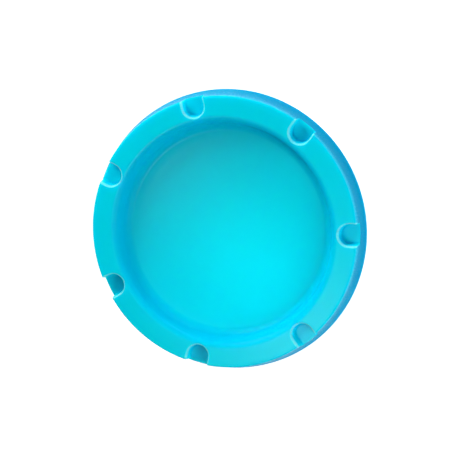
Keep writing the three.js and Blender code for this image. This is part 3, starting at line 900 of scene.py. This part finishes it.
class AIRSTONE_OT_seals(bpy.types.Operator):
    """Builds the two flat gaskets of the stone and the round seal of the cap"""

    bl_idname = "airstone.seals"
    bl_label = "Gaskets and cap seal"

    def execute(self, context):
        base = context.scene.air_stone_base
        rubber = finish_of(moulded_nitrile, base)
        for name in ("lower_gasket", "upper_gasket"):
            low, high = extent(name)
            flat = square_ring(high[0] - mm(base.gasket_width), high[1], low[2], high[2], 0.12)
            build(f"{name}_rubber", flat, rubber, "base", [name])
        low, high = extent("cap_seal")
        section = (high[2] - low[2]) / 2
        turn = np.linspace(0, 2 * np.pi, 20, endpoint=False)
        middle_r, middle_z = high[1] - section, (low[2] + high[2]) / 2
        loop = np.stack([middle_r + section * np.cos(turn), middle_z + section * np.sin(turn)], -1)
        build("cap_seal_rubber", lathe(loop), rubber, "base", ["cap_seal"])
        return {"FINISHED"}


class AIRSTONE_OT_pressure_ring(bpy.types.Operator):
    """Builds the ring that clamps the stone and carries the cap seal"""

    bl_idname = "airstone.pressure_ring"
    bl_label = "Pressure ring"

    def execute(self, context):
        base = context.scene.air_stone_base
        low, high = extent("pressure_ring")
        inner, step = high[0] - mm(base.ring_width), high[0] - mm(base.land_width)
        floor, edge = low[2] + mm(base.rebate_floor), mm(base.edge)
        corners = [
            (inner, low[2], 0.15),
            (high[1], low[2], edge),
            (high[1], high[2], edge),
            (step, high[2], 0.15),
            (step, floor, 0.1),
            (inner, floor, 0.15),
        ]
        ring, plastic = lathe(eased(corners)), finish_of(moulded_abs, base)
        build("pressure_ring_plastic", ring, plastic, "base", ["pressure_ring"])
        return {"FINISHED"}


# ---- The base ----


def housing_surface(base):
    """The chamber wall, the ledge for the stone and the deck as one turned section, then the lock ring over
    nine short pillars, its three lugs, the post for the weight and the six screw bosses."""
    low, high = extent("base_housing")
    edge = mm(base.edge)
    chamber, ledge_r, bottom, top = 48.0, high[1], low[2], high[2]
    ledge_z, ledge_top, deck_z, deck_top = bottom + 2.6, bottom + 4.4, bottom + 5.6, bottom + 7.4
    wall_in, lock_r, lock_in = chamber - 4, 45.4, 43.6
    pillars, pillar_start, pillar_end, window_h = 9, 11, 29, 2.2
    lug_r, lug_low, lug_high, lug_half = 47.5, 17.5, 19.0, 4
    post_r, boss_r, boss_bore, sunk = 4.7, 3, 1.4, 0.5
    corners = [
        (0, deck_z, 0),
        (wall_in, deck_z, 0.6),
        (wall_in, bottom, edge),
        (chamber, bottom, edge),
        (chamber, ledge_z, 0.5),
        (ledge_r, ledge_z, 0.8),
        (ledge_r, ledge_top, edge),
        (chamber - 1, ledge_top, 0.3),
        (chamber - 1, deck_top, edge),
        (0, deck_top, 0),
    ]
    parts = [lathe(eased(corners, 5, closed=False))]
    parts.append(square_ring(lock_in, lock_r, deck_top + window_h, top, 0.2))
    pillar_low, pillar_high = deck_top - 0.1, deck_top + window_h + 0.1
    for i in range(pillars):
        a = 20 + 360 / pillars * i
        start, end = a + pillar_start, a + pillar_end
        parts.append(arc_block(lock_in, lock_r, start, end, pillar_low, pillar_high))
    for i in range(3):
        lug = math.degrees(base.lug_angle) + 120 * i
        parts.append(arc_block(lock_r - sunk, lug_r, lug - lug_half, lug + lug_half, lug_low, lug_high))
    floor, under = bottom + 1.9, deck_z + sunk
    parts.append(lathe([(0, floor), (post_r, floor), (post_r, under), (0, under)], 48))
    boss = lathe([(boss_bore, floor), (boss_r, floor), (boss_r, under), (boss_bore, under)], 32)
    circle = mm(base.screw_circle)
    for i in range(6):
        at = base.screw_angle + i * math.pi / 3
        parts.append(moved(boss, (circle * math.cos(at), circle * math.sin(at), 0)))
    return joined(parts)


class AIRSTONE_OT_housing(bpy.types.Operator):
    """Builds the base housing with its ledge, deck, lock ring and lugs"""

    bl_idname = "airstone.housing"
    bl_label = "Base housing"

    def execute(self, context):
        base = context.scene.air_stone_base
        plastic = finish_of(moulded_abs, base)
        part = housing_surface(base)
        build("base_housing_plastic", part, plastic, "base", ["base_housing"], 35)
        return {"FINISHED"}


def screw_surface(low, high):
    """A countersunk screw about its own axis, head down. Its section is turned, and the head's flat face
    is pushed up by a smooth step inside a cross of two arms."""
    head, shank = 2.5, 1.1
    arm_long, arm_half, recess, slope = 1.3, 0.3, 0.8, 0.24
    flat = np.linspace(0, head - 0.15, 26)
    section = [(r, low) for r in flat]
    section += [(head - 0.04, low + 0.04), (head, low + 0.12), (head, low + 0.2), (shank, low + 1.5)]
    section += [(shank, high - 0.6), (shank - 0.5, high), (0, high)]
    verts, faces = lathe(section, 96)
    x, y = np.abs(verts[:, 0]), np.abs(verts[:, 1])
    lying = np.maximum(x - arm_long, y - arm_half)
    standing = np.maximum(x - arm_half, y - arm_long)
    arm = np.minimum(lying, standing)
    face = verts[:, 2] < low + 0.01
    verts[:, 2] = verts[:, 2] + np.where(face, recess * smooth_step(0.5 - arm / slope), 0)
    return verts, faces


class AIRSTONE_OT_cover(bpy.types.Operator):
    """Builds the six cover screws and finishes the bottom cover and the weight"""

    bl_idname = "airstone.cover"
    bl_label = "Bottom cover, weight and screws"

    def execute(self, context):
        base = context.scene.air_stone_base
        steel = finish_of(turned_stainless, base)
        keep("bottom_cover", finish_of(moulded_abs, base))
        keep("ballast_ring", steel)
        for i in range(6):
            name = f"cover_screw_{i + 1}"
            low, high = extent(name)
            middle = (low + high) / 2
            screw = moved(screw_surface(low[2], high[2]), (middle[0], middle[1], 0), 20 + 37 * i)
            build(f"{name}_steel", screw, steel, "base", [name])
        return {"FINISHED"}


def cup_surface(low, high):
    """A suction cup about its own axis: a thin lip that hollows upwards under the middle, a waist and a
    round head that holds it in the cover."""
    bead = high - 2.4
    corners = [
        (0, low + 2.6, 0),
        (3.6, low + 2.4, 0.8),
        (7.0, low + 1.2, 1.0),
        (8.6, low, 0.2),
        (10.2, low, 0.15),
        (10.2, low + 0.5, 0.2),
        (8.4, low + 2.1, 1.0),
        (5.6, low + 3.8, 0.8),
        (4.5, low + 5.7, 0.4),
        (2.9, low + 5.7, 0.2),
        (2.9, bead, 0.2),
        (4.2, bead, 0.2),
        (4.2, bead + 0.6, 0.3),
        (2.5, high, 0.6),
        (0, high, 0),
    ]
    return lathe(eased(corners, 5, closed=False), 96)


class AIRSTONE_OT_cups(bpy.types.Operator):
    """Builds the three suction cups"""

    bl_idname = "airstone.cups"
    bl_label = "Suction cups"

    def execute(self, context):
        silicone = finish_of(moulded_silicone, context.scene.air_stone_base)
        for i in range(3):
            name = f"suction_cup_{i + 1}"
            low, high = extent(name)
            middle = (low + high) / 2
            cup = moved(cup_surface(low[2], high[2]), (middle[0], middle[1], 0))
            build(f"{name}_silicone", cup, silicone, "base", [name])
        return {"FINISHED"}


# ---- The inlet ----


def elbow_surface(heading):
    """A plug turned about the upright axis with grooves for its seal and clip, and a barbed tail turned
    about its own axis and laid down towards heading. The tail's bore is open at its end."""
    tail_z, first_barb, barb_pitch = 3.2, 22.2, 2.6
    plug = [
        (0, 1, 0),
        (4.6, 1, 0.9),
        (4.6, 5.9, 0.3),
        (3.6, 5.9, 0.1),
        (3.6, 7.4, 0.1),
        (2.9, 7.4, 0.1),
        (2.9, 8.4, 0.1),
        (3.6, 8.4, 0.1),
        (3.6, 10.35, 0.1),
        (3.0, 10.35, 0.1),
        (3.0, 11.35, 0.1),
        (3.6, 11.35, 0.1),
        (3.6, 11.6, 0.1),
        (0, 11.6, 0),
    ]
    tail = [(1.3, 30.0, 0.1), (1.3, 6.0, 0.1), (0.0, 6.0, 0)]
    outline = [(0, 0, 0), (2.1, 0, 0.1), (2.1, 19.8, 0.2)]
    for i in range(4):
        tip = first_barb + barb_pitch * i
        outline += [(2.1, tip - 2.4, 0.1), (2.5, tip - 1.8, 0.12), (1.9, tip, 0.08)]
    barbed = lathe(eased(outline + tail, 4, closed=False), 64)
    upright = lathe(eased(plug, 4, closed=False), 64)
    return moved(joined([upright, moved(barbed, (0, 0, tail_z), tip=True)]), turn=heading)


class AIRSTONE_OT_inlet(bpy.types.Operator):
    """Builds the swivelling hose tail and finishes the valve's pieces"""

    bl_idname = "airstone.inlet"
    bl_label = "Hose tail and valve"

    def execute(self, context):
        base = context.scene.air_stone_base
        plastic = finish_of(moulded_abs, base)
        low, high = extent("valve_body")
        axis = (low + high) / 2
        heading = math.degrees(math.atan2(axis[1], axis[0]))
        elbow = moved(elbow_surface(heading), (axis[0], axis[1], 0))
        build("hose_elbow_plastic", elbow, plastic, "elbow", ["hose_elbow"], 40)
        for name in ("valve_body", "valve_nut", "valve_retainer"):
            keep(name, plastic)
        for name in ("valve_washer", "valve_poppet", "elbow_seal"):
            keep(name, finish_of(moulded_nitrile, base))
        keep("elbow_clip", finish_of(turned_stainless, base))
        self.spring(base)
        return {"FINISHED"}

    def spring(self, base):
        """Coils the valve's spring as it stands; in the valve it shortens from below as the poppet lifts.
        """
        low, high = extent("valve_spring")
        wire, turns, steel = 0.25, 4, finish_of(turned_stainless, base)
        x, y = (low[:2] + high[:2]) / 2
        wound = coil((high[0] - low[0]) / 2 - wire, wire, turns, low[2] + wire, high[2] - wire)
        part = moved(wound, (x, y, 0))
        piece = build("valve_spring_coil", part, steel, "base", ["valve_spring"])
        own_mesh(piece)


# ---- The stage ----


def soft_light(name, heading, rise, distance, size, power):
    """Makes a square soft light that looks at the disc from a heading and a rise in degrees, with its
    distance and size in metres."""
    lamp = bpy.data.lights.new(name, "AREA")
    lamp.size, lamp.energy = size, power
    light = bpy.data.objects.new(name, lamp)
    a, e = math.radians(heading), math.radians(rise)
    toward = Vector((math.cos(e) * math.cos(a), math.cos(e) * math.sin(a), math.sin(e)))
    light.location = toward * distance + Vector((0, 0, 0.03))
    light.rotation_euler = toward.to_track_quat("Z", "Y").to_euler()
    light.visible_camera = False
    bpy.context.scene.collection.objects.link(light)
    return light


class AIRSTONE_OT_stage(bpy.types.Operator):
    """Lays the pale floor, sets the lights and places the camera"""

    bl_idname = "airstone.stage"
    bl_label = "Floor, lights and camera"

    def execute(self, context):
        stage = context.scene.air_stone_stage
        half = 3.0  # metres from the middle of the floor to its edges
        corners = [(-half, -half, 0), (half, -half, 0), (half, half, 0), (-half, half, 0)]
        floor = bpy.data.meshes.new("floor")
        floor.from_pydata(corners, [], [(0, 1, 2, 3)])
        floor.materials.append(lit_acrylic(stage))
        ground = bpy.data.objects.new("floor", floor)
        context.scene.collection.objects.link(ground)
        ground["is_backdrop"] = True
        soft_light("key", 128, 24, 0.9, 0.36, stage.key_power)
        soft_light("fill", 335, 36, 0.9, 0.4, stage.fill_power)
        # Small and near, so that it is only a reflection in the flange and doesn't light the plastic.
        glint = soft_light("glint", 254.6, 69.7, 0.26, 0.04, stage.glint_power)
        glint.visible_diffuse = False
        soft_light("rim", 75, 10, 0.6, 0.2, stage.rim_power)
        self.pool(stage)
        world = bpy.data.worlds.new("studio")
        world.use_nodes = True
        world.node_tree.nodes["Background"].inputs["Color"].default_value = (1, 1, 1, 1)
        world.node_tree.nodes["Background"].inputs["Strength"].default_value = stage.sky
        context.scene.world = world
        context.scene.view_settings.view_transform = "Standard"
        self.place_camera(context, stage)
        return {"FINISHED"}

    def pool(self, stage):
        """A narrow soft-edged spotlight on the far half of the dish from the main light."""
        lamp = bpy.data.lights.new("pool", "SPOT")
        lamp.energy, lamp.spot_size, lamp.spot_blend = stage.pool_power, math.radians(9), 1.0
        lamp.shadow_soft_size = 0.03
        light = bpy.data.objects.new("pool", lamp)
        toward = Vector((-0.45, 0.45, 0.77)).normalized()
        light.location = Vector((0.014, -0.02, 0.024)) + toward * 0.6
        light.rotation_euler = toward.to_track_quat("Z", "Y").to_euler()
        bpy.context.scene.collection.objects.link(light)

    def place_camera(self, context, stage):
        """Looks at a point near the flange's middle from the tilt and heading, with +Y up in the view."""
        away = Vector(
            (
                math.sin(stage.tilt) * math.cos(stage.heading),
                math.sin(stage.tilt) * math.sin(stage.heading),
                math.cos(stage.tilt),
            )
        )
        low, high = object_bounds()
        target = Vector((0.0015, 0.001, high[2] * 0.85))
        right = Vector((0, 1, 0)).cross(away).normalized()
        lens = bpy.data.cameras.new("camera")
        lens.sensor_width = 36
        seen = (high[0] - low[0]) / stage.share
        lens.lens = lens.sensor_width * stage.distance / seen
        camera = bpy.data.objects.new("camera", lens)
        turn = Matrix((right, away.cross(right), away)).transposed().to_4x4()
        camera.matrix_world = Matrix.Translation(target + away * stage.distance) @ turn
        context.scene.collection.objects.link(camera)
        context.scene.camera = camera


class AIRSTONE_PT_panel(bpy.types.Panel):
    """Lists the air stone's pieces and settings"""

    bl_idname = "AIRSTONE_PT_panel"
    bl_label = "Air stone"
    bl_space_type = "VIEW_3D"
    bl_region_type = "UI"
    bl_category = "Air stone"

    def draw(self, context):
        """Lists a button for each operator, then each group's settings."""
        for operator in OPERATORS:
            self.layout.operator(operator.bl_idname)
        for name in SETTINGS:
            group = getattr(context.scene, name)
            box = self.layout.box()
            for key in group.bl_rna.properties.keys():
                if key not in ("rna_type", "name"):
                    box.prop(group, key)


OPERATORS = [
    AIRSTONE_OT_cap,
    AIRSTONE_OT_stone,
    AIRSTONE_OT_seals,
    AIRSTONE_OT_pressure_ring,
    AIRSTONE_OT_housing,
    AIRSTONE_OT_cover,
    AIRSTONE_OT_cups,
    AIRSTONE_OT_inlet,
    AIRSTONE_OT_stage,
]
SETTINGS = {
    "air_stone_cap": AirStoneCap,
    "air_stone_stone": AirStoneStone,
    "air_stone_base": AirStoneBase,
    "air_stone_stage": AirStoneStage,
}


def register():
    """Registers the classes and gives the scene its settings."""
    for group in (*SETTINGS.values(), *OPERATORS, AIRSTONE_PT_panel):
        bpy.utils.register_class(group)
    for name, group in SETTINGS.items():
        setattr(bpy.types.Scene, name, bpy.props.PointerProperty(type=group))


def unregister():
    """Takes the settings and the classes away again."""
    for name in SETTINGS:
        delattr(bpy.types.Scene, name)
    for group in (AIRSTONE_PT_panel, *reversed(OPERATORS), *reversed(SETTINGS.values())):
        bpy.utils.unregister_class(group)


def main():
    """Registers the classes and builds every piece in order."""
    register()
    for operator in OPERATORS:
        area, name = operator.bl_idname.split(".")
        if getattr(getattr(bpy.ops, area), name)() != {"FINISHED"}:
            raise RuntimeError(f"{operator.bl_idname} didn't finish")


if __name__ == "__main__":
    main()
